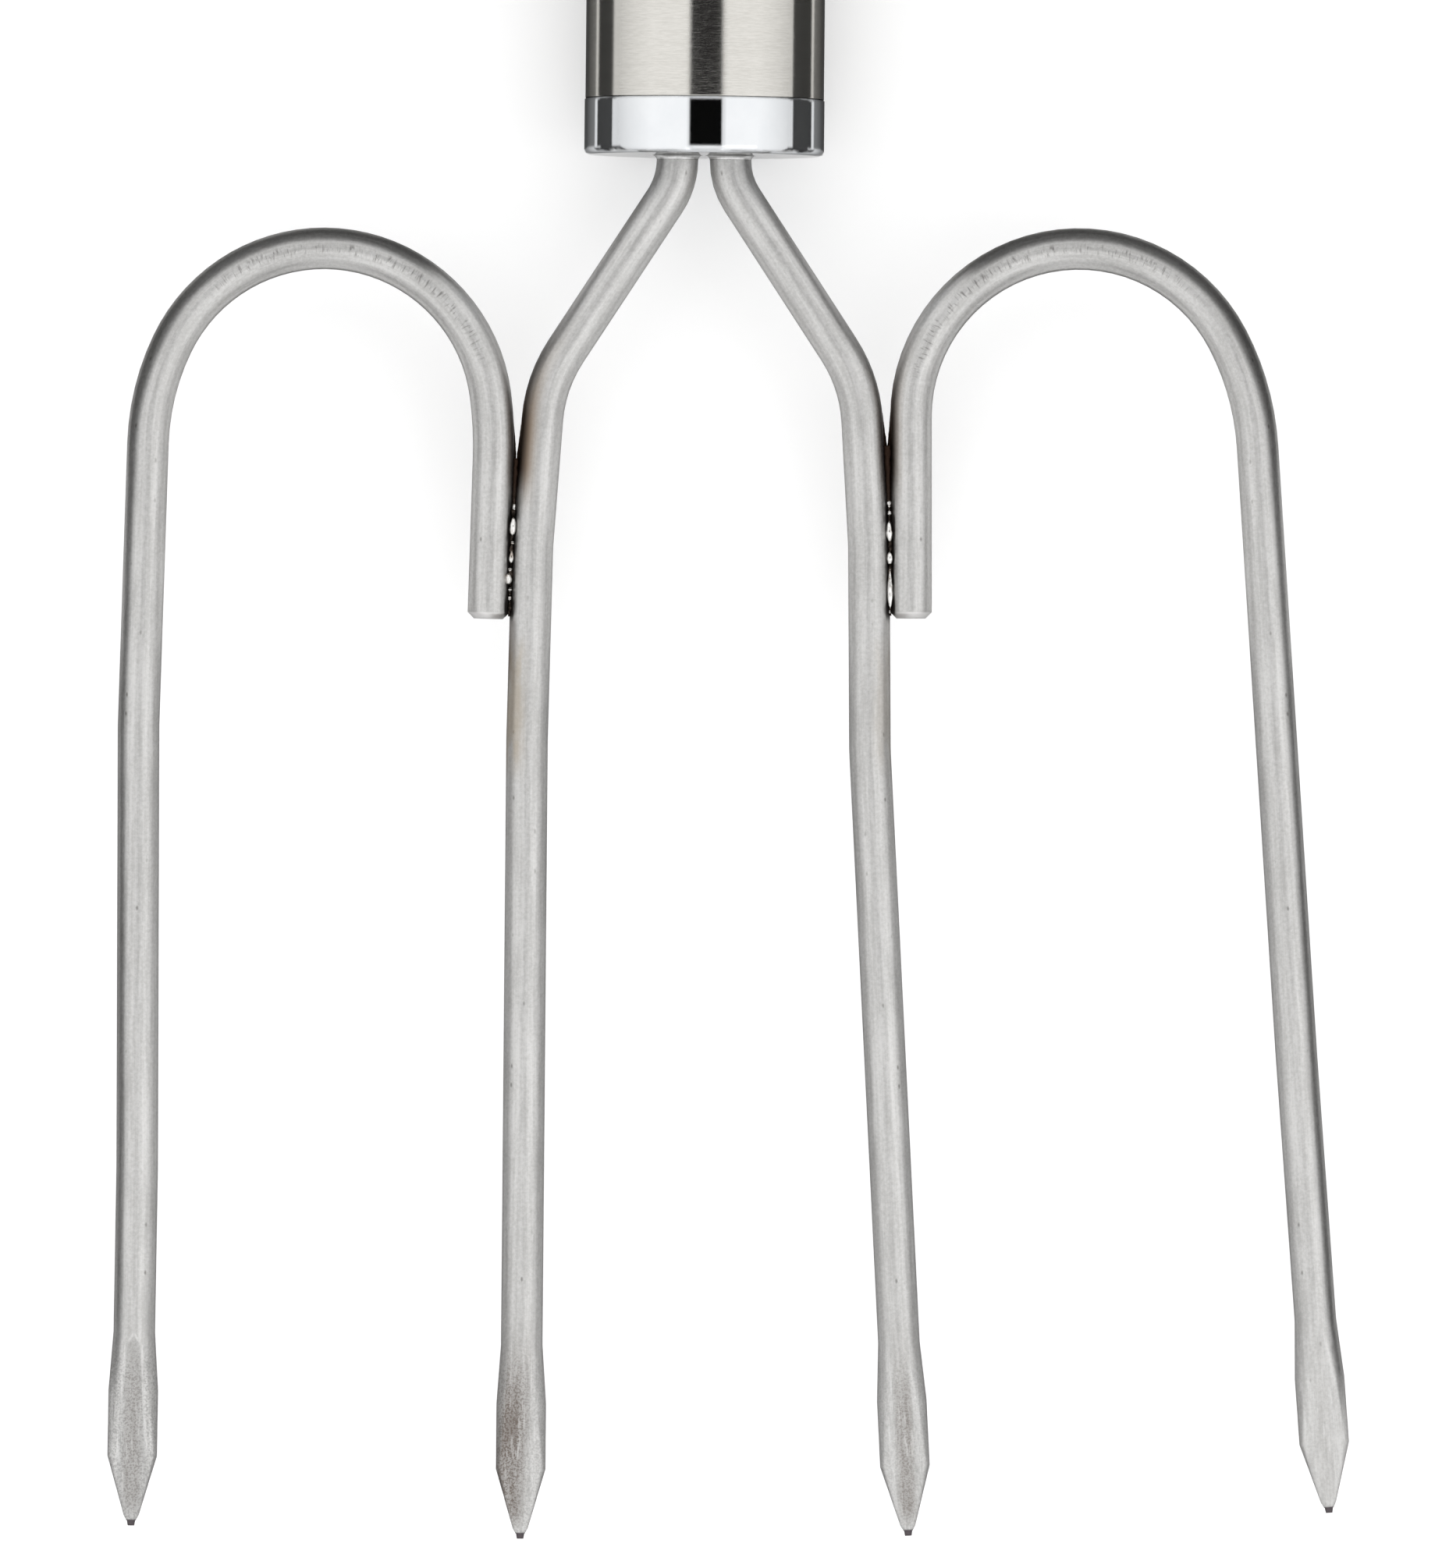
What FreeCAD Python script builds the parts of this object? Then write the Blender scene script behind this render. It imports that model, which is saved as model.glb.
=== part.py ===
"""Four-tine lifting fork: a tubular steel handle with four spear-tipped tines bent from 4 mm rod.

The fork lies flat. Millimetres, +Z up, +Y along the handle to its butt, tines towards -Y.
The origin is on the handle's axis, at the middle of the tube that the hand holds.
"""
import FreeCAD, Part
import math
import os

from FreeCAD import Vector

os.makedirs("parts", exist_ok=True)

# Handle
tube_radius = 11.47
tube_wall = 1.0
tube_length = 118.0
collar_radius = 11.53
cap_length = 5.45            # the part of a cap that shows, at the collar and at the butt
cap_front_wall = 2.2
cap_rim_radius = 0.5         # the buffed outer rim, turned as two slopes
cap_seam_chamfer = 0.15      # the fine groove where a cap meets the tube
spigot_length = 7.0
spigot_wall = 1.2
spigot_clearance = 0.05

# Tines
rod_radius = 2.0
tang_x = 2.55                # the two tangs stand side by side in the collar
tang_length = 6.0            # from the collar's front face back into the handle
tang_neck = 0.45             # the straight bit in front of the collar, before the first bend
tang_hole_clearance = 0.05
leg_end_chamfer = 0.6

# Spear tip, measured from where the round rod starts to flatten
flare_length = 5.6
blade_length = 6.3
blade_width = 4.77
point_length = 6.2
point_width = 1.45
nose_length = 0.5            # the last bit of the point, where its sides round in
nose_width = 0.9
# half thickness of the flattened blade at the end of the flare, at the shoulders and at the point
blade_half_thickness = (1.6, 1.1, 0.5)
nib_radius = 0.4             # the blunt end left where the point was cut from the rod
nib_end_radius = 0.32
nib_length = 0.5

# Welds
collar_weld_radius = 0.5     # the hollow fillet of weld where a tine leaves the collar
tang_weld_radius = 6.0
tang_weld_height = 1.5
valley_weld_radius = 0.25    # a thin run of weld in the valley between two rods
valley_weld_length = {"left": 14.2, "right": 16.0}
drop_radius = 0.34           # the drops of metal on top of it
bead_taper = 0.6             # both narrow to this share of their radius at the ends
weld_sink = 0.06             # how far both are pressed into the valley

# Each tine is a bend list: (heading, straight run, radius of the bend that leads into the run).
# A heading is in degrees: 0 points to the butt, 90 straight out to the tine's own side and
# 180 to the tips. The rods are bent by hand, so the two sides differ by a degree or two.
# An inner tine starts at the end of its tang, inside the handle.
sides = {"left": -1, "right": 1}
inner_bends = {
    "left": [
        (180.0, tang_length + tang_neck, 0),
        (147.2, 17.28, 7.3),
        (176.1, 11.8, 14),
        (179.0, 18.0, 16),
        (180.1, 58.1, 16),
    ],
    "right": [
        (180.0, tang_length + tang_neck, 0),
        (146.5, 17.18, 6.8),
        (176.3, 11.6, 14),
        (179.1, 19.0, 16),
        (176.6, 56.6, 16),
    ],
}
# An outer tine starts at the cut end of its short leg, beside the inner tine, and arches over.
outer_start = {"left": (-20.28, 44.75), "right": (20.35, 44.3)}  # x, distance before the collar
outer_bends = {
    "left": [
        (-1.3, 15.4, 0),
        (8.0, 0, 38),
        (155.0, 0, 16.15),
        (178.7, 26.9, 24),
        (180.42, 42.0, 16),
        (179.6, 15.5, 40),
    ],
    "right": [
        (-0.6, 19.4, 0),
        (152.0, 0, 16.13),
        (175.75, 58.5, 26),
        (175.3, 25.3, 40),
    ],
}

# Drops on each valley weld: (distance from the cut end of the short leg, length)
faces = {"top": 1, "bottom": -1}
weld_drops = {
    "left_top": [(0.9, 0.6), (2.7, 0.9), (4.9, 1.2), (7.4, 2.0)],
    "left_bottom": [(1.0, 1.4), (4.2, 0.6), (7.4, 1.3)],
    "right_top": [(1.0, 3.2), (5.0, 1.2), (7.1, 1.5), (9.5, 0.7)],
    "right_bottom": [(0.9, 0.6), (3.4, 1.6), (6.8, 1.2)],
}

collar_face = -(tube_length / 2 + cap_length)
bore_radius = tube_radius - tube_wall
hole_radius = rod_radius + tang_hole_clearance
y_axis = Vector(0, 1, 0)
z_axis = Vector(0, 0, 1)


def bar_along_y(radius, length, x, y):
    """A round bar that starts at (x, y) and runs towards the butt."""
    return Part.makeCylinder(radius, length, Vector(x, y, 0), y_axis)


def turned(profile):
    """A solid turned about the Y axis from (radius, y) points."""
    points = [Vector(radius, y, 0) for radius, y in profile]
    face = Part.Face(Part.makePolygon(points + points[:1]))
    return face.revolve(Vector(0, 0, 0), y_axis, 360)


def handle_tube():
    outside = bar_along_y(tube_radius, tube_length, 0, -tube_length / 2)
    inside = bar_along_y(bore_radius, tube_length, 0, -tube_length / 2)
    return outside.cut(inside)


def end_cap(radius):
    """A turned cap: its outer face is at y = 0 and its hollow spigot goes up into the tube."""
    spigot = bore_radius - spigot_clearance
    hollow = spigot - spigot_wall
    rim_drop = cap_rim_radius * (1 - math.sqrt(0.5))
    return turned([
        (0, 0), (radius - cap_rim_radius, 0), (radius - rim_drop, rim_drop),
        (radius, cap_rim_radius),
        (radius, cap_length - cap_seam_chamfer),
        (radius - cap_seam_chamfer, cap_length), (spigot, cap_length),
        (spigot, cap_length + spigot_length), (hollow, cap_length + spigot_length),
        (hollow, cap_front_wall), (0, cap_front_wall)])


def front_collar():
    """The cap at the front, drilled for the two tangs."""
    collar = end_cap(collar_radius)
    collar.translate(Vector(0, collar_face, 0))
    for x in (-tang_x, tang_x):
        collar = collar.cut(bar_along_y(hole_radius, cap_front_wall + 2, x, collar_face - 1))
    return collar


def rear_cap():
    cap = end_cap(tube_radius)
    cap.rotate(Vector(0, 0, 0), z_axis, 180)
    cap.translate(Vector(0, -collar_face, 0))
    return cap


def tang_weld(tines):
    """The weld behind the collar's front wall, one pad round both tangs."""
    pad = bar_along_y(tang_weld_radius, tang_weld_height, 0, collar_face + cap_front_wall)
    return pad.cut(tines)


def collar_welds():
    """A small hollow fillet of weld round each tine where it leaves the collar."""
    size = collar_weld_radius
    slopes = [(size * (1 - math.cos(angle)), size * (math.sin(angle) - 1))
              for angle in (0, math.radians(30), math.radians(60), math.radians(90))]
    profile = [(0, 0)] + slopes
    rings = []
    for x in (-tang_x, tang_x):
        ring = turned([(rod_radius + distance, y) for distance, y in profile])
        ring.translate(Vector(x, collar_face, 0))
        rings.append(ring)
    return Part.Compound(rings)


def direction(side, heading):
    angle = math.radians(heading)
    return Vector(side * math.sin(angle), math.cos(angle), 0)


def bent_rod(side, start, bends):
    """The round rod as straight bars and bends that meet square, all in the flat plane.

    Returns the rod, and the point and heading where it ends.
    """
    stretches = []
    point = start
    heading = bends[0][0]
    for next_heading, run, bend_radius in bends:
        if next_heading != heading:
            # the bend's centre lies square to the rod, on the side that it turns to
            square = math.copysign(90, next_heading - heading)
            centre = point + direction(side, heading + square) * bend_radius
            circle = Part.makeCircle(rod_radius, point, direction(side, heading))
            turn = side * (heading - next_heading)
            stretches.append(Part.Face(Part.Wire(circle)).revolve(centre, z_axis, turn))
            point = centre - direction(side, next_heading + square) * bend_radius
            heading = next_heading
        if run > 0:
            stretches.append(Part.makeCylinder(rod_radius, run, point, direction(side, heading)))
            point = point + direction(side, heading) * run
    return stretches[0].fuse(stretches[1:]).removeSplitter(), point, heading


def oval(width, height, distance):
    """A section across the rod, at a distance in front of where the flattening starts."""
    scale = FreeCAD.Matrix()
    scale.scale(Vector(width / 2, 1, height / 2))
    section = Part.makeCircle(1.0, Vector(0, 0, 0), y_axis).transformGeometry(scale)
    section.translate(Vector(0, -distance, 0))
    return Part.Wire(section.Edges)


def spear_tip():
    """The end of a tine, pressed flat: a flare, a short blade and a tapered point, along -Y."""
    rod_width = 2 * rod_radius
    shoulder = flare_length + blade_length
    end = shoulder + point_length
    tip = Part.makeLoft([
        oval(rod_width, rod_width, 0),
        oval(blade_width, rod_width, flare_length),
        oval(blade_width, rod_width, shoulder),
        oval(point_width, rod_width, end - nose_length),
        oval(nose_width, rod_width, end)], True, True)
    flare_flat, shoulder_flat, point_flat = blade_half_thickness
    flat_line = [(0, rod_radius), (flare_length, flare_flat), (shoulder, shoulder_flat),
                 (end, point_flat), (end, rod_width), (0, rod_width)]
    for way in faces.values():
        corners = [Vector(-blade_width, -distance, way * height) for distance, height in flat_line]
        pressed_off = Part.Face(Part.makePolygon(corners + corners[:1]))
        tip = tip.cut(pressed_off.extrude(Vector(2 * blade_width, 0, 0)))
    nib = Part.makeCone(nib_end_radius, nib_radius, nib_length,
                        Vector(0, -end - nib_length, 0), y_axis)
    return tip.fuse(nib)


def tine(side, start, bends, chamfer=0):
    """A whole tine. The chamfer goes round the cut end that the bend list starts from."""
    rod, end, heading = bent_rod(side, start, bends)
    if chamfer:
        rim = [edge for edge in rod.Edges if edge.CenterOfMass.distanceToPoint(start) < 0.01]
        rod = rod.makeChamfer(chamfer, rim)
    tip = spear_tip()
    tip.rotate(Vector(0, 0, 0), z_axis, side * (180 - heading))
    tip.translate(end)
    return rod.fuse(tip).removeSplitter()


def octagon(centre, along, radius):
    """An eight-cornered wire round a line."""
    across = along.cross(z_axis)
    angles = [math.radians(45 * corner + 22.5) for corner in range(8)]
    corners = [centre + across * (radius * math.cos(angle)) + z_axis * (radius * math.sin(angle))
               for angle in angles]
    return Part.makePolygon(corners + corners[:1])


def resting_bead(foot, along, length, radius, up):
    """An eight-sided bead with narrower ends, in the valley between two touching rods.

    The foot is a point of the line where the rods touch; up says which side of them it lies on.
    """
    height = math.sqrt((rod_radius + radius) ** 2 - rod_radius ** 2) - weld_sink
    start = foot + z_axis * (up * height)
    end = start + along * length
    taper = along * (bead_taper * radius)
    return Part.makeLoft([
        octagon(start - taper, along, bead_taper * radius), octagon(start, along, radius),
        octagon(end, along, radius), octagon(end + taper, along, bead_taper * radius)], True, True)


def valley_weld(side, up, start, heading, length, drops, rods):
    """The weld between a short leg and the inner tine: a thin run with drops of metal on it."""
    along = direction(side, heading)
    valley = start + direction(side, heading - 90) * rod_radius
    weld = resting_bead(valley + along * leg_end_chamfer, along, length, valley_weld_radius, up)
    weld = weld.fuse([resting_bead(valley + along * distance, along, length, drop_radius, up)
                      for distance, length in drops])
    return weld.cut(rods).removeSplitter()


pieces = {
    "handle_tube": handle_tube(),
    "front_collar": front_collar(),
    "rear_cap": rear_cap(),
}
for name, side in sides.items():
    tang_end = Vector(side * tang_x, collar_face + tang_length, 0)
    leg_end = Vector(outer_start[name][0], collar_face - outer_start[name][1], 0)
    inner = tine(side, tang_end, inner_bends[name])
    outer = tine(side, leg_end, outer_bends[name], leg_end_chamfer)
    pieces["inner_tine_" + name] = inner
    pieces["outer_tine_" + name] = outer
    for face, up in faces.items():
        drops = weld_drops[name + "_" + face]
        pieces["weld_" + name + "_" + face] = valley_weld(
            side, up, leg_end, outer_bends[name][0][0], valley_weld_length[name], drops,
            [inner, outer])

pieces["tang_weld"] = tang_weld([pieces["inner_tine_" + name] for name in sides])
pieces["collar_welds"] = collar_welds()

for name, shape in pieces.items():
    shape.exportStep("parts/" + name + ".step")
    print(name, "solids", len(shape.Solids), "valid", shape.isValid(),
          "volume", round(shape.Volume, 1))
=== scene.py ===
"""Looks for the four-tine lifting fork: its metals, and a small daylight studio round it."""

import bmesh
import bpy
import math
from mathutils import Matrix, Vector, noise


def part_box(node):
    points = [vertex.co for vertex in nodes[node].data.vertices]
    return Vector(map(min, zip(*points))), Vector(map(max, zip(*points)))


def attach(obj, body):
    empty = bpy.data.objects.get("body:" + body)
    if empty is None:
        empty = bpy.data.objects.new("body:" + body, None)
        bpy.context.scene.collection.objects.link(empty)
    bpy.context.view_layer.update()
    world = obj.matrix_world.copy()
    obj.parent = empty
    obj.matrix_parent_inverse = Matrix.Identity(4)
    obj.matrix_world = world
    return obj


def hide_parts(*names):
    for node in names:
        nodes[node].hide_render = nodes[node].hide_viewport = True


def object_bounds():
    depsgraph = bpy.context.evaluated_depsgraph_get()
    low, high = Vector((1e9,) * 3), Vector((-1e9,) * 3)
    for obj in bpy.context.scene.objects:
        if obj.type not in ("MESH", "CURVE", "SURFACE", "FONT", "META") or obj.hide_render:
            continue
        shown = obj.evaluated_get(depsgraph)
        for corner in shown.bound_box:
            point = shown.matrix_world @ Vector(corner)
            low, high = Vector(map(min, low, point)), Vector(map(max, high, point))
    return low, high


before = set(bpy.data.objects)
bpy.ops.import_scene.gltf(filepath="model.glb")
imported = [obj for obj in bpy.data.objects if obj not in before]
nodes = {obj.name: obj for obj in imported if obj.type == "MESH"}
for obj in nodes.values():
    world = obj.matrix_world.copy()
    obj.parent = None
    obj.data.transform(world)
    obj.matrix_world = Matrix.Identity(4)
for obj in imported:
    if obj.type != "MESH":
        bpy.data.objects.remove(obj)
cad_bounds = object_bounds()


# Handle tube
# Thin-walled stainless tube, 23 mm across, that the hand holds. It is brushed on a lathe, so the
# marks run round it: fine rings, some a little brighter, a few deeper than the rest.

class Wire:
    """A value, colour or vector on its way through a material's nodes.

    Sums, differences and products of wires add the Math nodes that work them out.
    """

    def __init__(self, tree, socket):
        self.tree = tree
        self.socket = socket

    def node(self, kind, settings, inputs, output=0):
        """Add a node of this kind, set it up and give the wire that comes out of it."""
        made = self.tree.nodes.new(kind)
        for name, setting in settings.items():
            setattr(made, name, setting)
        for name, value in inputs.items():
            if isinstance(value, Wire):
                self.tree.links.new(value.socket, made.inputs[name])
            else:
                made.inputs[name].default_value = value
        return Wire(self.tree, made.outputs[output])

    def math(self, operation, first, second=0.0):
        return self.node("ShaderNodeMath", {"operation": operation}, {0: first, 1: second})

    def size(self):
        return self.math("ABSOLUTE", self)

    def __add__(self, other):
        return self.math("ADD", self, other)

    def __sub__(self, other):
        return self.math("SUBTRACT", self, other)

    def __mul__(self, other):
        return self.math("MULTIPLY", self, other)

    def __rsub__(self, other):
        return self.math("SUBTRACT", other, self)

    __radd__ = __add__
    __rmul__ = __mul__

    def part(self, axis):
        """One of a vector's parts, named "X", "Y" or "Z"."""
        return self.node("ShaderNodeSeparateXYZ", {}, {0: self}, axis)

    def reach(self, direction):
        """How far a place reaches in this direction."""
        return self.node("ShaderNodeVectorMath", {"operation": "DOT_PRODUCT"},
                         {0: self, 1: direction}, "Value")

    def grain(self, stretch, detail=3.0, roughness=0.6):
        """Noise from 0 to 1 at this place, with so many grains per metre along each axis."""
        place = self.node("ShaderNodeVectorMath", {"operation": "MULTIPLY"}, {0: self, 1: stretch})
        return self.node("ShaderNodeTexNoise", {"noise_dimensions": "3D"},
                         {"Vector": place, "Scale": 1.0, "Detail": detail, "Roughness": roughness})

    def between(self, low, high):
        """0 below low, 1 above high, and a smooth climb from one to the other."""
        return self.node("ShaderNodeMapRange", {"interpolation_type": "SMOOTHSTEP"},
                         {"Value": self, "From Min": low, "From Max": high})

    def within(self, start, end):
        """1 from start to end, each a pair of values that its change is spread over."""
        return self.between(*start) * self.between(*end)

    def blend(self, first, second):
        """The first colour where this wire is 0, the second where it is 1."""
        colours = [c if isinstance(c, Wire) else (*c, 1.0) for c in (first, second)]
        return self.node("ShaderNodeMix", {"data_type": "RGBA"},
                         {"Factor": self, 6: colours[0], 7: colours[1]}, 2)


def new_metal(name, edge_tint):
    """A bare metal. Gives the material, its shader node and the wire of places on the fork.

    The edge tint is how much a metal still reflects where it is seen at a grazing angle.
    """
    material = bpy.data.materials.new(name)
    material.use_nodes = True
    tree = material.node_tree
    shader = tree.nodes["Principled BSDF"]
    shader.inputs["Metallic"].default_value = 1.0
    shader.inputs["Specular Tint"].default_value = (edge_tint, edge_tint, edge_tint, 1.0)
    coordinates = tree.nodes.new("ShaderNodeTexCoord")
    return material, shader, Wire(tree, coordinates.outputs["Object"])


def finish_metal(shader, place, colour, roughness, height, depth, worn_edge):
    """Join colour, roughness and surface relief to a metal; depth and worn edge are in metres."""
    links = place.tree.links
    links.new(colour.socket, shader.inputs["Base Color"])
    links.new(roughness.socket, shader.inputs["Roughness"])
    rounded = place.node("ShaderNodeBevel", {"samples": 6}, {"Radius": worn_edge})
    relief = place.node("ShaderNodeBump", {},
                        {"Height": height, "Distance": depth, "Normal": rounded})
    links.new(relief.socket, shader.inputs["Normal"])


def give(material, *names):
    """Put a material on these pieces of the fork."""
    for name in names:
        nodes[name].material_slots[0].material = material


steel_edge_tint = 0.25
tube_dark = (0.57, 0.555, 0.52)
tube_light = (0.66, 0.645, 0.61)
brush_depth = 0.000003
tube_worn_edge = 0.0001

brushed_tube, shader, place = new_metal("brushed_tube", steel_edge_tint)
rings = place.grain((900, 7500, 900), detail=4.0, roughness=0.7)
bands = place.grain((120, 1300, 120), detail=3.0)
colour = (rings * 0.8 + bands * 0.2).between(0.3, 0.7).blend(tube_dark, tube_light)
finish_metal(shader, place, colour, 0.07 + rings * 0.08, rings, brush_depth, tube_worn_edge)
give(brushed_tube, "handle_tube")


# Front collar and rear cap
# Each is a turned stainless cap whose spigot is pressed into the tube. They are polished to a
# mirror on a buffing wheel, which leaves only faint marks round the rim.

cap_dark = (0.74, 0.757, 0.775)
cap_light = (0.77, 0.785, 0.80)
buffing_depth = 0.000001
buffed_edge = 0.0005

polished_cap, shader, place = new_metal("polished_cap", steel_edge_tint)
buffing = place.grain((60, 2500, 60))
haze = place.grain((300, 300, 300))
colour = haze.between(0.3, 0.7).blend(cap_dark, cap_light)
finish_metal(shader, place, colour, 0.01 + buffing * 0.04, buffing, buffing_depth, buffed_edge)
give(polished_cap, "front_collar", "rear_cap")


# Tines
# Four lengths of 4 mm stainless rod, bent cold and pressed flat at the ends. They are satin:
# drawn along their length and tumbled afterwards. Where the short leg of an outer tine is welded
# to the inner tine, the heat has left both brown.

collar_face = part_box("front_collar")[0][1]
rod_radius = 0.002
tip_length = 0.0186              # the pressed blade with its point and nib
rod_edge_tint = 0.32
rod_dark = (0.45, 0.445, 0.435)
rod_light = (0.635, 0.63, 0.62)
pit_colour = (0.16, 0.15, 0.14)
tick_colour = (0.18, 0.17, 0.165)
dull_flat = (0.37, 0.37, 0.365)
grit_colour = (0.28, 0.275, 0.27)
# painted highlight on the rim of each pressed flat
painted_rim_highlight = (0.72, 0.715, 0.705)
press_brown = (0.17, 0.145, 0.128)
scratch_colour = (0.75, 0.745, 0.735)
cut_nib = (0.12, 0.105, 0.112)
# painted highlight on the short leg's cut end
painted_end_highlight = (0.86, 0.85, 0.84)
straw_tint = (0.40, 0.33, 0.24)
heat_brown = (0.225, 0.17, 0.122)
burnt_brown = (0.075, 0.05, 0.035)
# painted shade in the valley between the rods
painted_valley_shade = (0.022, 0.017, 0.014)
satin_depth = 0.000012
rod_worn_edge = 0.0006

# Each rod's side and start, and its bend list: heading, straight run and radius of the bend that
# leads into the run, in degrees and millimetres. 180 is towards the tips.
rods = {
    "inner_tine_left": (-1, (-2.55, 6.0), [
        (180.0, 6.45, 0), (147.2, 17.28, 7.3), (176.1, 11.8, 14), (179.0, 18.0, 16),
        (180.1, 58.1, 16)]),
    "inner_tine_right": (1, (2.55, 6.0), [
        (180.0, 6.45, 0), (146.5, 17.18, 6.8), (176.3, 11.6, 14), (179.1, 19.0, 16),
        (176.6, 56.6, 16)]),
    "outer_tine_left": (-1, (-20.28, -44.75), [
        (-1.3, 15.4, 0), (8.0, 0, 38), (155.0, 0, 16.15), (178.7, 26.9, 24), (180.42, 42.0, 16),
        (179.6, 15.5, 40)]),
    "outer_tine_right": (1, (20.35, -44.3), [
        (-0.6, 19.4, 0), (152.0, 0, 16.13), (175.75, 58.5, 26), (175.3, 25.3, 40)]),
}


def towards(side, heading):
    """A step of one metre along a heading, on the left side (-1) or the right (1)."""
    angle = math.radians(heading)
    return Vector((side * math.sin(angle), math.cos(angle), 0.0))


def from_collar(x, y):
    """A point in the flat plane of the tines, from millimetres beyond the collar's face."""
    return Vector((x / 1000, collar_face + y / 1000, 0.0))


def measured_along(place, side, start, bends):
    """How far each place lies beside the rod's middle and along the rod, and the rod's whole
    length.

    Every run and bend measures its own stretch of the rod, and the stretches are added up.
    """
    beside = place * 0.0
    along = place * 0.0
    length = 0.0
    point = from_collar(*start)
    heading = bends[0][0]
    widest_half = 0.003              # the rod and its blade lie well within this

    def add_stretch(step, offset, stretch):
        here = (step.math("GREATER_THAN", step, 0.0) * step.math("LESS_THAN", step, stretch)
                * step.math("LESS_THAN", offset.size(), widest_half))
        return beside + here * offset, along + here * (step + length)

    for number, (next_heading, run, bend_radius) in enumerate(bends):
        run = run / 1000
        bend_radius = bend_radius / 1000
        if next_heading != heading:
            square = math.copysign(90, next_heading - heading)
            centre = point + towards(side, heading + square) * bend_radius
            forward = towards(side, heading)
            outward = (point - centre).normalized()
            ahead = place.reach(forward) - centre.dot(forward)
            out = place.reach(outward) - centre.dot(outward)
            step = ahead.math("ARCTAN2", ahead, out) * bend_radius
            from_centre = out.math("SQRT", ahead * ahead + out * out)
            offset = (from_centre - bend_radius) * math.copysign(1, -square)
            stretch = math.radians(abs(next_heading - heading)) * bend_radius
            beside, along = add_stretch(step, offset, stretch)
            length += stretch
            point = centre - towards(side, next_heading + square) * bend_radius
            heading = next_heading
        if number == len(bends) - 1:
            run += tip_length
        if run > 0:
            forward = towards(side, heading)
            right = towards(side, heading + 90)
            step = place.reach(forward) - point.dot(forward)
            offset = place.reach(right) - point.dot(right)
            beside, along = add_stretch(step, offset, run)
            length += run
            point = point + forward * run
    return beside, along, length


def near_valley(place, side, start, bends):
    """How far each place is from the line where a short leg touches the inner tine, and how far
    along that line it is from the leg's cut end."""
    forward = towards(side, bends[0][0])
    square = towards(side, bends[0][0] - 90)
    foot = from_collar(*start) + square * rod_radius
    return ((place.reach(square) - foot.dot(square)).size(),
            place.reach(forward) - foot.dot(forward))


# The brown mark of the press on each blade: its strength, how far beside the middle it lies at
# the tip, how much it leans across towards the rod, and its half width, in metres
press_marks = {
    "inner_tine_left": (1.05, -0.0016, 0.06, 0.0024),
    "inner_tine_right": (0.6, -0.0001, 0.0, 0.0012),
    "outer_tine_left": (0.4, 0.0, 0.0, 0.0012),
    "outer_tine_right": (0.1, 0.0, 0.0, 0.001),
}
# How dull the press has left the flat of each blade, how strong the painted highlight on its rim
# is, and how gritty the blade has come out
flats = {"inner_tine_left": (0.0, 0.15, 0.35), "inner_tine_right": (0.05, 0.2, 0.25),
         "outer_tine_left": (0.35, 0.65, 0.6), "outer_tine_right": (0.05, 0.1, 0.0)}
# How brown each rod is beside its weld, and how far across the rod the brown has spread
browning = {"inner_tine_left": (0.95, 0.0002), "inner_tine_right": (0.35, -0.0009),
            "outer_tine_left": (0.35, -0.0009), "outer_tine_right": (0.95, -0.0005)}
# The stretch of each outer tine that went round the bending post, in metres along the rod
post_bends = {"outer_tine_left": (0.0225, 0.062), "outer_tine_right": (0.0205, 0.0615)}

# The blade, in metres: the cut nib's length, how far from its end the pressed flat and the painted
# highlight on its rim reach, and the flat's half width at the tip, which narrows towards the rod
nib_length = 0.0005
flat_end = 0.0187
painted_rim_stretch = ((flat_end + 0.0001, flat_end - 0.0003), (0.0055, 0.0075))
flat_half_width = 0.0018
flat_narrowing = 0.06
press_stretch = ((0.023, 0.0095), (0.0003, 0.003))
grit_stretch = (0.0195, 0.014)
scratch_stretch = (0.021, 0.015)
# Each mark of the heat comes in over the first pair of distances from the short leg's cut end, and
# goes out over the second. Below the end they are negative.
straw_stretch = ((-0.016, -0.012), (-0.001, -0.004))
below_leg_stretch = ((-0.009, -0.002), (0.0005, -0.0005))
browned_stretch = ((0.0095, 0.015), (0.030, 0.018))
# the painted shade in the valley comes in and goes out in the same way
valley_shade_stretch = ((-0.0006, 0.0006), (0.0125, 0.0105))
heat_reach = (0.012, 0.009)      # how far from the valley anything is tinted

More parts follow.
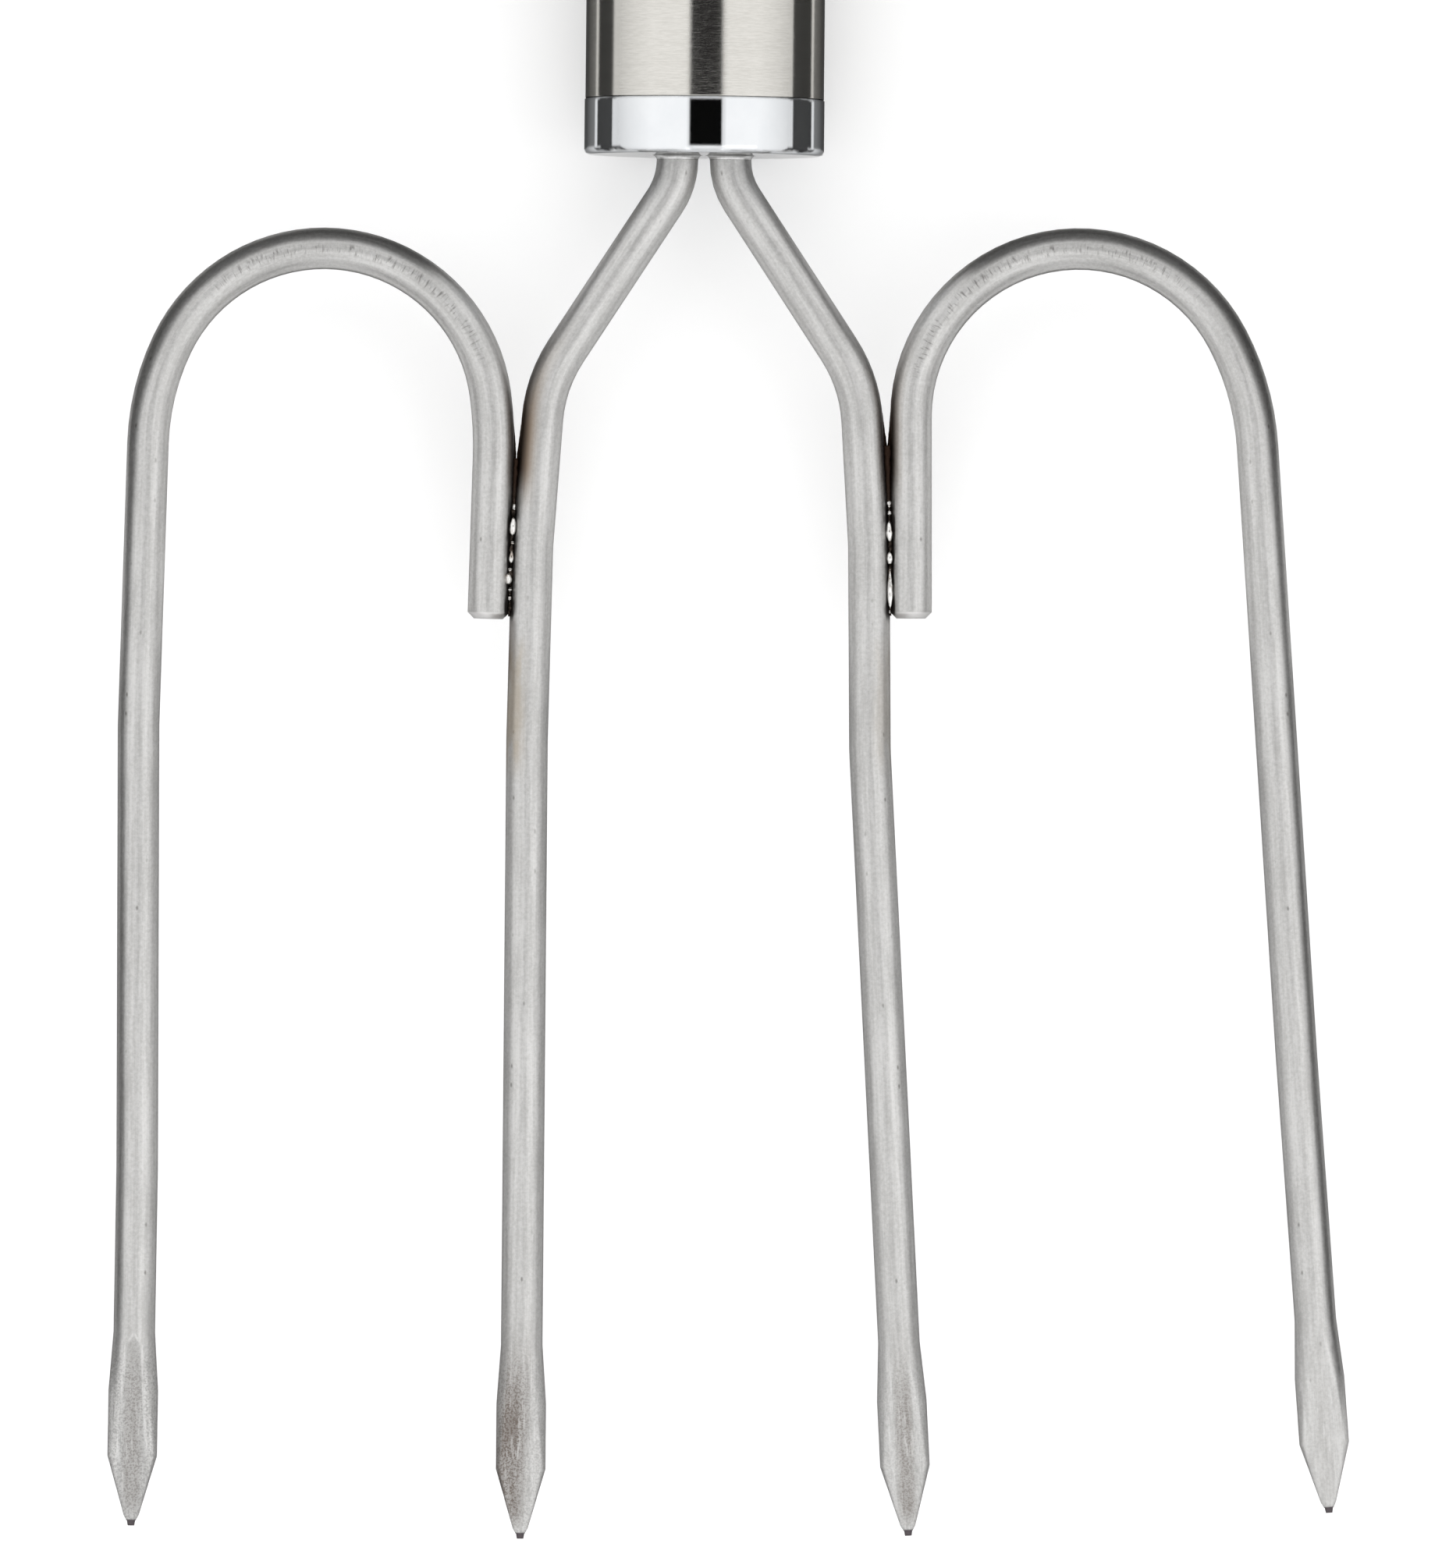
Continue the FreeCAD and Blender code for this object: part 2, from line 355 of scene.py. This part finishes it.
for name, (side, start, bends) in rods.items():
    satin_rod, shader, place = new_metal("satin_rod_" + name, rod_edge_tint)
    beside, along, length = measured_along(place, side, start, bends)
    straightened = place.node("ShaderNodeCombineXYZ", {}, {0: beside, 1: along, 2: place.part("Z")})
    drawn = straightened.grain((3000, 110, 3000), detail=5.0)
    tumbled = place.grain((3200, 3200, 3200), detail=3.0, roughness=0.7)
    clouds = straightened.grain((500, 120, 500), detail=4.0)
    tone = drawn * 0.35 + tumbled * 0.35 + clouds * 0.3
    colour = tone.between(0.36, 0.64).blend(rod_dark, rod_light)

    # Small dark pits, in about a third of the cells of a honeycomb
    honeycomb = {"Scale": 1.0, "Vector": straightened.node(
        "ShaderNodeVectorMath", {"operation": "MULTIPLY"}, {0: straightened, 1: (900, 480, 900)})}
    pits = place.node("ShaderNodeTexVoronoi", {}, honeycomb).between(0.16, 0.04)
    kept = place.node("ShaderNodeTexVoronoi", {}, honeycomb, "Color").part("X").between(0.55, 0.95)
    colour = (pits * kept * 0.7).blend(colour, pit_colour)

    # The bending post has marked the middle of the arch with short ticks across the rod
    if name in post_bends:
        first, last = post_bends[name]
        middle = beside.size().between(0.0007, 0.0002)
        on_arch = along.within((first, first + 0.006), (last, last - 0.012))
        ticks = straightened.grain((900, 4200, 900), detail=2.0).between(0.52, 0.68)
        colour = (ticks * middle * on_arch * 0.7).blend(colour, tick_colour)

    # The press left a flat that widens towards the shoulders and is round at its upper end. It is
    # a little duller than the rod, with a streaky painted highlight along its rim, and the blade is
    # gritty.
    from_end = length - along
    dull, rim_highlight_strength, gritty = flats[name]
    rounding = from_end.between(flat_end - 0.0015, flat_end) * 0.0007
    past_flat = beside.size() - (flat_half_width - from_end * flat_narrowing - rounding)
    colour = (past_flat.between(0.0001, -0.0001) * dull).blend(colour, dull_flat)
    grit = place.grain((5200, 5200, 5200), detail=2.0).between(0.46, 0.6)
    colour = (grit * from_end.between(*grit_stretch) * gritty).blend(colour, grit_colour)
    # painted highlight: a bright streaky line along the rim of the flat, lighter than the rod
    painted_rim = past_flat.size().between(0.00022, 0.00006) * from_end.within(*painted_rim_stretch)
    streaks = straightened.grain((2600, 140, 2600)).between(0.35, 0.6)
    colour = (painted_rim * streaks * rim_highlight_strength).blend(colour, painted_rim_highlight)

    # The blade keeps the press's brown mark and bright scratches, and the cut nib is dark
    strength, mark_middle, lean, mark_reach = press_marks[name]
    smears = straightened.grain((1700, 90, 1700), detail=5.0).between(0.34, 0.62)
    from_mark = (beside - from_end * lean - mark_middle).size()
    pressed = from_end.within(*press_stretch) * from_mark.between(mark_reach, 0.0003)
    mottle = smears * 0.35 + grit * 0.4 + 0.4
    colour = (pressed * mottle * strength).blend(colour, press_brown)
    scratches = straightened.grain((3600, 50, 3600), detail=2.0).between(0.58, 0.7)
    colour = (scratches * from_end.between(*scratch_stretch) * 0.35).blend(colour, scratch_colour)
    colour = from_end.between(nib_length + 0.00016, nib_length).blend(colour, cut_nib)
    if name in post_bends:
        # The short leg's cut end has a painted highlight round its rim
        colour = along.between(0.0007, 0.0005).blend(colour, painted_end_highlight)

    # The welding has tinted the rods brown along the edge that faces it, darkest at the edge, and
    # straw-coloured below the short leg. The valley where the rods touch is darkened almost to
    # black:
    # painted shade.
    leg = rods[name.replace("inner", "outer")]
    valley, up_leg = near_valley(place, *leg)
    patchy = straightened.grain((900, 250, 900))
    heat, spread = browning[name]
    heated = valley.between(*heat_reach) * heat
    straw = (beside.between(0.0003, -0.0012) * patchy.between(0.2, 0.6)
             * up_leg.within(*straw_stretch))
    colour = (straw * heated * 0.6).blend(colour, straw_tint)
    faces_weld = beside.between(spread, spread - 0.0015) * patchy.between(0.1, 0.35)
    browned = faces_weld * up_leg.within(*browned_stretch)
    below_leg = beside.between(-0.0011, -0.0019) * up_leg.within(*below_leg_stretch)
    brown = beside.between(-0.0009, -0.0018).blend(heat_brown, burnt_brown)
    colour = (heated * (browned + below_leg * 0.6)).blend(colour, brown)
    # painted shade: near the weld, the valley where the rods touch is darkened almost to black
    valley_shade_reach = valley + (patchy - 0.5) * 0.0006
    valley_shaded = valley_shade_reach.between(0.00055, 0.0003) * up_leg.within(*valley_shade_stretch)
    colour = (valley_shaded * 0.95).blend(colour, painted_valley_shade)

    finish_metal(shader, place, colour, 0.33 + tumbled * 0.16 + valley_shaded * 0.2,
                 drawn * 0.5 + tumbled * 0.5, satin_depth, rod_worn_edge)
    give(satin_rod, name)


# Welds
# Short runs of filler metal laid by hand in the valley between two rods, front and back, and a
# pad behind the collar. They are left as welded: a dark scaly run with small bright drops on it.
# Only the two at the collar are dressed, each to a small hollow fillet round its tine.

weld_edge_tint = 0.8
clean_weld = (0.78, 0.77, 0.75)
tinted_weld = (0.42, 0.37, 0.33)
dark_scale = (0.016, 0.012, 0.010)
light_scale = (0.10, 0.08, 0.066)
brown_scale = (0.03, 0.018, 0.013)
weld_worn_edge = 0.00005

weld_metal, shader, place = new_metal("weld_metal", weld_edge_tint)
ripples = place.grain((1500, 1500, 1500), detail=3.0)
heat = place.grain((900, 900, 900))
colour = heat.between(0.45, 0.7).blend(clean_weld, tinted_weld)
finish_metal(shader, place, colour, 0.12 + ripples * 0.12, ripples, 0.00004, weld_worn_edge)
give(weld_metal, "tang_weld", "weld_left_bottom", "weld_right_bottom")

weld_scale, shader, place = new_metal("weld_scale", weld_edge_tint)
scale = place.grain((2500, 2500, 2500), detail=4.0)
colour = scale.between(0.4, 0.75).blend(dark_scale, light_scale)
upper_end = place.part("Y").between(collar_face - 0.0345, collar_face - 0.031)
colour = upper_end.blend(colour, brown_scale)
finish_metal(shader, place, colour, 0.35 + scale * 0.3, scale, 0.00006, weld_worn_edge)

# Each drop: distance from the short leg's cut end, length, half width and shift to the side,
# all in millimetres
drops = {
    "weld_left_top": [
        (1.0, 0.5, 0.16, 0.02), (1.7, 0.7, 0.22, -0.02), (2.6, 0.65, 0.25, 0.0),
        (3.35, 1.1, 0.37, -0.2), (4.6, 0.6, 0.24, -0.08), (5.4, 1.2, 0.28, 0.03),
        (7.1, 0.7, 0.25, 0.06), (8.1, 1.9, 0.34, 0.03), (10.4, 0.9, 0.22, 0.05)],
    "weld_left_bottom": [
        (1.0, 1.4, 0.26, 0.0), (2.7, 0.8, 0.18, 0.03), (4.2, 0.9, 0.24, -0.05),
        (5.6, 1.1, 0.17, 0.0), (7.4, 1.5, 0.26, 0.04)],
    "weld_right_top": [
        (0.5, 0.4, 0.16, 0.06), (0.95, 3.8, 0.29, 0.0), (5.2, 1.3, 0.31, 0.03),
        (6.75, 0.4, 0.2, 0.0), (7.4, 2.1, 0.33, 0.02), (9.9, 0.7, 0.27, -0.03),
        (10.75, 0.9, 0.25, -0.02)],
    "weld_right_bottom": [
        (0.9, 0.8, 0.2, 0.0), (1.9, 1.1, 0.17, 0.04), (3.4, 1.7, 0.28, -0.03),
        (5.5, 0.8, 0.18, 0.0), (6.8, 1.3, 0.25, 0.02)],
}
run_start = 0.0003               # from the short leg's cut end, in metres
run_lengths = {"left": 0.0153, "right": 0.0164}
run_half_width = 0.00019
run_sink = 0.00009               # how far the run is pressed into the valley
drop_sink = 0.00004
horn_length = 0.0036
line_step = 0.0001
lump_grain = 2600                # lumps per metre
scale_slot = 1                   # the run's mesh has weld_metal in slot 0, weld_scale in slot 1
drop_slot = 0


def bead(shape, centres, half_widths, rough, material_index):
    """Add a closed lumpy bead to a mesh, with one ring of corners round each centre."""
    corners = 14
    rings = []
    for centre, half_width in zip(centres, half_widths):
        ring = []
        for corner in range(corners):
            angle = 2 * math.pi * corner / corners
            spoke = Vector((math.cos(angle), 0.0, math.sin(angle)))
            lump = noise.noise((centre + spoke * half_width) * lump_grain)
            ring.append(shape.verts.new(centre + spoke * half_width * (1 + rough * lump)))
        rings.append(ring)
    faces = [shape.faces.new(rings[0]), shape.faces.new(reversed(rings[-1]))]
    for ring, after in zip(rings, rings[1:]):
        for corner in range(corners):
            other = (corner + 1) % corners
            faces.append(shape.faces.new((ring[other], ring[corner], after[corner], after[other])))
    for face in faces:
        face.smooth = True
        face.material_index = material_index


def centre_line(side, start, bends):
    """Points down the middle of a rod from its start, one about every tenth of a millimetre."""
    point = from_collar(*start)
    heading = bends[0][0]
    points = [point]
    for next_heading, run, bend_radius in bends:
        bend = math.radians(abs(next_heading - heading)) * bend_radius / 1000
        for stretch, turn in ((bend, next_heading - heading), (run / 1000, 0.0)):
            steps = round(stretch / line_step)
            for step in range(steps):
                heading += turn / steps
                point = point + towards(side, heading) * (stretch / steps)
                points.append(point)
    return points


for name, drop_list in drops.items():
    leg_side = "left" if "left" in name else "right"
    leg_line = centre_line(*rods["outer_tine_" + leg_side])
    inner_line = centre_line(*rods["inner_tine_" + leg_side])
    up = 1 if "top" in name else -1
    shape = bmesh.new()

    def valley_at(distance):
        """The middle between the two rods this far up the leg, and the step from leg to tine."""
        on_leg = leg_line[round(distance / line_step)]
        on_inner = min(inner_line, key=lambda point: (point - on_leg).length)
        return (on_leg + on_inner) / 2, on_inner - on_leg

    def resting(distance, half_width, shift, sink):
        """A point where a bead of this half width rests on both rods."""
        middle, apart = valley_at(distance)
        rise = (rod_radius + half_width) ** 2 - (apart.length / 2) ** 2
        height = math.sqrt(max(rise, 0.0)) - sink
        return middle + apart.normalized() * shift + Vector((0.0, 0.0, up * height))

    # The run swells and thins a little, starts narrow, and widens to a web where the rods part
    run_steps = 80
    centres = []
    half_widths = []
    for step in range(run_steps + 1):
        share = step / run_steps
        distance = run_start + run_lengths[leg_side] * share
        gap = valley_at(distance)[1].length - 2 * rod_radius
        swell = run_half_width * (1 + 0.2 * math.sin(share * 50) + 0.15 * math.sin(share * 29 + up))
        swell *= min(1.0, 12 * share + 0.3)
        half_widths.append(max(swell, gap / 2 + 0.0001))
        centres.append(resting(distance, half_widths[-1], 0.0, run_sink))
    bead(shape, centres, half_widths, 0.35, scale_slot)

    # It climbs a little way up each rod as a thin horn, so that the gap above it closes to a point
    horn_steps = 24
    for rod_side in (-1, 1):
        centres = []
        half_widths = []
        for step in range(horn_steps + 1):
            share = step / horn_steps
            middle, apart = valley_at(run_lengths[leg_side] + horn_length * share)
            gap = apart.length - 2 * rod_radius
            half_widths.append(gap / 2 * (1 - share) ** 1.5 + 0.00002)
            centres.append(middle + apart.normalized() * rod_side * gap / 2)
        bead(shape, centres, half_widths, 0.2, scale_slot)

    # The drops are fuller towards the cut end, as the filler sagged while it set
    drop_steps = 12
    for distance, drop_length, half_width, shift in drop_list:
        centres = []
        half_widths = []
        for step in range(drop_steps + 1):
            share = step / drop_steps
            bulge = math.sin(math.pi * share ** 0.8) ** 0.6
            half_widths.append(half_width / 1000 * max(bulge, 0.12))
            centres.append(resting((distance + drop_length * share) / 1000, half_width / 1000,
                                   shift / 1000, drop_sink))
        bead(shape, centres, half_widths, 0.25, drop_slot)

    mesh = bpy.data.meshes.new(name + "_run")
    shape.to_mesh(mesh)
    shape.free()
    mesh.materials.append(weld_metal)
    mesh.materials.append(weld_scale)
    run = bpy.data.objects.new(name + "_run", mesh)
    bpy.context.scene.collection.objects.link(run)
    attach(run, "root")
    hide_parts(name)

# The fillet's hollow side leaves the rod and turns out to the collar's face. A dark line is left
# at its toe.
dressed_dark = (0.58, 0.58, 0.575)
dressed_light = (0.69, 0.69, 0.685)
toe_colour = (0.14, 0.135, 0.13)
tang_x = 0.00255                 # the two tangs stand side by side in the collar
fillet_reach = 0.00045
fillet_length = 0.0005
inside_rod = 0.00003             # the fillet's thin end starts just under the rod's skin
fillet_steps = 10
around = 48

dressed_weld, shader, place = new_metal("dressed_weld", steel_edge_tint)
dressing = place.grain((3200, 3200, 3200), roughness=0.7)
colour = dressing.between(0.36, 0.64).blend(dressed_dark, dressed_light)
toe = place.part("Y").between(collar_face - 0.00036, collar_face - 0.00044)
colour = toe.blend(colour, toe_colour)
finish_metal(shader, place, colour, 0.26 + dressing * 0.14, dressing, 0.000008, 0.0)

shape = bmesh.new()
for tang in (-tang_x, tang_x):
    profile = [(rod_radius - inside_rod, -fillet_length)]
    for step in range(1, fillet_steps + 1):
        angle = math.pi / 2 * step / fillet_steps
        profile.append((rod_radius + fillet_reach * (1 - math.cos(angle)),
                        -fillet_length * (1 - math.sin(angle))))
    profile.append((rod_radius - 0.0001, 0.0))
    rings = []
    for radius, distance in profile:
        rings.append([shape.verts.new((tang + radius * math.cos(2 * math.pi * corner / around),
                                       collar_face + distance,
                                       radius * math.sin(2 * math.pi * corner / around)))
                      for corner in range(around)])
    for number, (ring, after) in enumerate(zip(rings, rings[1:] + rings[:1])):
        for corner in range(around):
            other = (corner + 1) % around
            face = shape.faces.new((ring[corner], ring[other], after[other], after[corner]))
            face.smooth = number < fillet_steps
bmesh.ops.recalc_face_normals(shape, faces=shape.faces)
mesh = bpy.data.meshes.new("collar_fillets")
shape.to_mesh(mesh)
shape.free()
mesh.materials.append(dressed_weld)
fillets = bpy.data.objects.new("collar_fillets", mesh)
bpy.context.scene.collection.objects.link(fillets)
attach(fillets, "root")
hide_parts("collar_welds")


# Floor
# A wide pale card. The fork lies on it on its collar and rear cap, so the tines are clear of it.
# It glows a little where the eye or a mirror sees it, and so stays white, yet keeps its shadows.

floor_half = 2.2
floor_height = cad_bounds[0].z
card_white = 0.93
card_glow = 0.12


def flat_sheet(name, corners, material):
    """A four-cornered sheet of the studio, which isn't part of the fork."""
    mesh = bpy.data.meshes.new(name)
    mesh.from_pydata(corners, [], [(0, 1, 2, 3)])
    sheet = bpy.data.objects.new(name, mesh)
    mesh.materials.append(material)
    bpy.context.scene.collection.objects.link(sheet)
    return sheet


card = bpy.data.materials.new("pale_card")
card.use_nodes = True
card_shader = card.node_tree.nodes["Principled BSDF"]
card_shader.inputs["Base Color"].default_value = (card_white, card_white, card_white, 1.0)
card_shader.inputs["Roughness"].default_value = 0.9
card_shader.inputs["Specular IOR Level"].default_value = 0.0
rays = card.node_tree.nodes.new("ShaderNodeLightPath")
seen = (Wire(card.node_tree, rays.outputs["Is Camera Ray"])
        + Wire(card.node_tree, rays.outputs["Is Glossy Ray"])
        + Wire(card.node_tree, rays.outputs["Is Transmission Ray"]))
glow = seen.node("ShaderNodeVectorMath", {"operation": "SCALE"},
                 {0: (card_glow, card_glow, card_glow), "Scale": seen})
card.node_tree.links.new(glow.socket, card_shader.inputs["Emission Color"])
card_shader.inputs["Emission Strength"].default_value = 1.0
flat_sheet("floor", [(x * floor_half, y * floor_half, floor_height)
                     for x, y in ((-1, -1), (1, -1), (1, 1), (-1, 1))], card)


# Lamps
# Softboxes lean in from the sides like a tent and close it along the top, except for a gap over
# the collar. One more fills from the tips' end. Flags on the floor, beside the grip and round the
# arches give the bright metal its edges. Neither lamps nor flags show themselves.

def softbox(name, near, far, reach, brightness, far_share=1.0):
    """A lamp whose cross-section runs from near to far, both (x, z), over a reach of Y.

    A brightness of 1 is as bright as a white card in full light. It fades to the far share of
    that over the far three fifths of the cloth.
    """
    (near_x, near_z), (far_x, far_z) = near, far
    slope = Vector((far_x - near_x, 0.0, far_z - near_z))
    length = reach[1] - reach[0]
    lamp = bpy.data.lights.new(name, "AREA")
    lamp.shape = "RECTANGLE"
    lamp.size = length
    lamp.size_y = slope.length
    lamp.energy = math.pi * slope.length * length * brightness
    if far_share < 1.0:
        lamp.use_nodes = True
        glow = lamp.node_tree.nodes["Emission"].inputs["Color"]
        geometry = lamp.node_tree.nodes.new("ShaderNodeNewGeometry")
        cloth_place = Wire(lamp.node_tree, geometry.outputs["Parametric"])
        fade = cloth_place.node("ShaderNodeMapRange", {}, {
            "Value": cloth_place.part("Y"), "From Min": 0.4, "From Max": 1.0,
            "To Min": 1.0, "To Max": far_share})
        lamp.node_tree.links.new(fade.socket, glow)
    holder = bpy.data.objects.new(name, lamp)
    along = Vector((0.0, math.copysign(1.0, -slope.x), 0.0))
    across = slope.normalized()
    turn = Matrix((along, across, along.cross(across))).transposed().to_4x4()
    middle = Vector(((near_x + far_x) / 2, sum(reach) / 2, (near_z + far_z) / 2))
    holder.matrix_world = Matrix.Translation(middle) @ turn
    holder.visible_camera = False
    bpy.context.scene.collection.objects.link(holder)


tent_reach = (-1.42, 1.18)
roof_left = (-0.2, 0.8)
roof_right = (0.24, 0.8)
softbox("softbox_left", roof_left, (-1.2, floor_height), tent_reach, 0.95, 0.63)
softbox("softbox_right", roof_right, (1.2, floor_height), tent_reach, 0.95, 0.63)
softbox("softbox_top_far", roof_left, roof_right, (tent_reach[0], -0.5), 0.8)
softbox("softbox_top_tips", roof_left, roof_right, (-0.5, -0.08), 1.35)
softbox("softbox_top_butt", roof_left, roof_right, (0.17, tent_reach[1]), 1.3)
softbox("key", (0.24, 0.79), (0.8, 0.62), (-0.37, -0.15), 0.65)

fill_width = 2.0
fill_height = 0.8
fill_brightness = 0.5
fill_target = Vector((0.0, -0.12, 0.0))
fill = bpy.data.lights.new("softbox_front", "AREA")
fill.shape = "RECTANGLE"
fill.size = fill_width
fill.size_y = fill_height
fill.energy = math.pi * fill_width * fill_height * fill_brightness
fill_holder = bpy.data.objects.new("softbox_front", fill)
fill_holder.location = (0.0, -1.3, 0.5)
from_target = fill_holder.location - fill_target
fill_holder.rotation_euler = from_target.to_track_quat("Z", "X").to_euler()
fill_holder.visible_camera = False
bpy.context.scene.collection.objects.link(fill_holder)


def cloth(name, shade):
    """A dull grey cloth."""
    dull = bpy.data.materials.new(name)
    dull.use_nodes = True
    dull_shader = dull.node_tree.nodes["Principled BSDF"]
    dull_shader.inputs["Base Color"].default_value = (shade, shade, shade, 1.0)
    dull_shader.inputs["Roughness"].default_value = 1.0
    dull_shader.inputs["Specular IOR Level"].default_value = 0.0
    return dull


velvet = cloth("velvet", 0.004)
dark_cloth = cloth("dark_cloth", 0.035)
charcoal_cloth = cloth("charcoal_cloth", 0.085)
grey_cloth = cloth("grey_cloth", 0.3)
pale_cloth = cloth("pale_cloth", 0.62)
cream_cloth = cloth("cream_cloth", 0.74)


def flag(name, corners, material):
    """A sheet that only the metal's reflections show."""
    sheet = flat_sheet(name, corners, material)
    sheet.visible_camera = False
    sheet.visible_diffuse = False
    sheet.visible_shadow = False


def lying_flag(name, near_x, far_x, near_y, far_y, height, material):
    """A flag that lies level at this height."""
    flag(name, [(near_x, near_y, height), (far_x, near_y, height),
                (far_x, far_y, height), (near_x, far_y, height)], material)


def standing_flag(name, start, end, material):
    """A flag between two places, each given as (x, y, foot, top)."""
    (start_x, start_y, start_foot, start_top), (end_x, end_y, end_foot, end_top) = start, end
    flag(name, [(start_x, start_y, start_foot), (end_x, end_y, end_foot),
                (end_x, end_y, end_top), (start_x, start_y, start_top)], material)


lying_flag("flag_overhead", -0.26, 0.33, -1.5, 1.3, 0.9, velvet)
lying_flag("flag_under_grip", -0.0285, 0.0285, -0.0643, 0.07, floor_height + 0.0003, grey_cloth)
lying_flag("flag_under_tines", -0.074, 0.074, -0.215, -0.112, floor_height + 0.0003, pale_cloth)
for side, side_name in ((-1, "left"), (1, "right")):
    lying_flag("flag_far_" + side_name, side * 0.09, side * 1.15, -0.3, 0.3,
               floor_height + 0.0002, cream_cloth)
    lying_flag("flag_corner_" + side_name, side * 0.026, side * 0.05, -0.086, -0.0675,
               floor_height + 0.0005, dark_cloth)

# A strip stands beside each outer tine, and goes on round its arch a little above the floor
arch_middle = (0.037, collar_face - 0.0253)
strip_radius = 0.0247
strip_top = 0.007
arch_strip_foot = -0.0055
arch_strip_top = 0.0088
for side, side_name, out in ((-1, "left", 0.076), (1, "right", 0.080)):
    strip = [(side * out, y, floor_height, strip_top) for y in (-0.182, -0.112)]
    for angle in (75, 45, 15, -15, -38):
        turn = math.radians(angle)
        strip.append((side * (arch_middle[0] + strip_radius * math.sin(turn)),
                      arch_middle[1] + strip_radius * math.cos(turn),
                      arch_strip_foot, arch_strip_top))
    for number, (start, end) in enumerate(zip(strip, strip[1:])):
        standing_flag("flag_" + side_name + "_" + str(number), start, end,
                      dark_cloth if number == 0 and side > 0 else charcoal_cloth)
for name, x, top in (("flag_grip_left", -0.0333, 0.003), ("flag_grip_right", 0.0333, 0.0057)):
    standing_flag(name, (x, -0.066, floor_height, top), (x, 0.07, floor_height, top),
                  charcoal_cloth)

world_grey = 0.25
world = bpy.data.worlds.new("studio")
world.use_nodes = True
background = world.node_tree.nodes["Background"]
background.inputs["Color"].default_value = (world_grey, world_grey, world_grey, 1.0)
bpy.context.scene.world = world


# Camera
# It looks straight down on the tines from a little over two metres, through a long lens, and is
# turned by half a degree or so, as when it is set up by hand.

eye_height = 2.15
seen_width = 0.15075             # how much of the tines' plane the picture takes in
turned = 0.6                     # degrees
camera_data = bpy.data.cameras.new("camera")
camera_data.sensor_width = 36.0
camera_data.lens = camera_data.sensor_width * eye_height / seen_width
camera_data.clip_end = 20.0
camera = bpy.data.objects.new("camera", camera_data)
camera.location = (0.00226, -0.12485, eye_height)
camera.rotation_euler = (0.0, 0.0, math.radians(turned))
bpy.context.scene.collection.objects.link(camera)
bpy.context.scene.camera = camera
bpy.context.scene.view_settings.view_transform = "Standard"
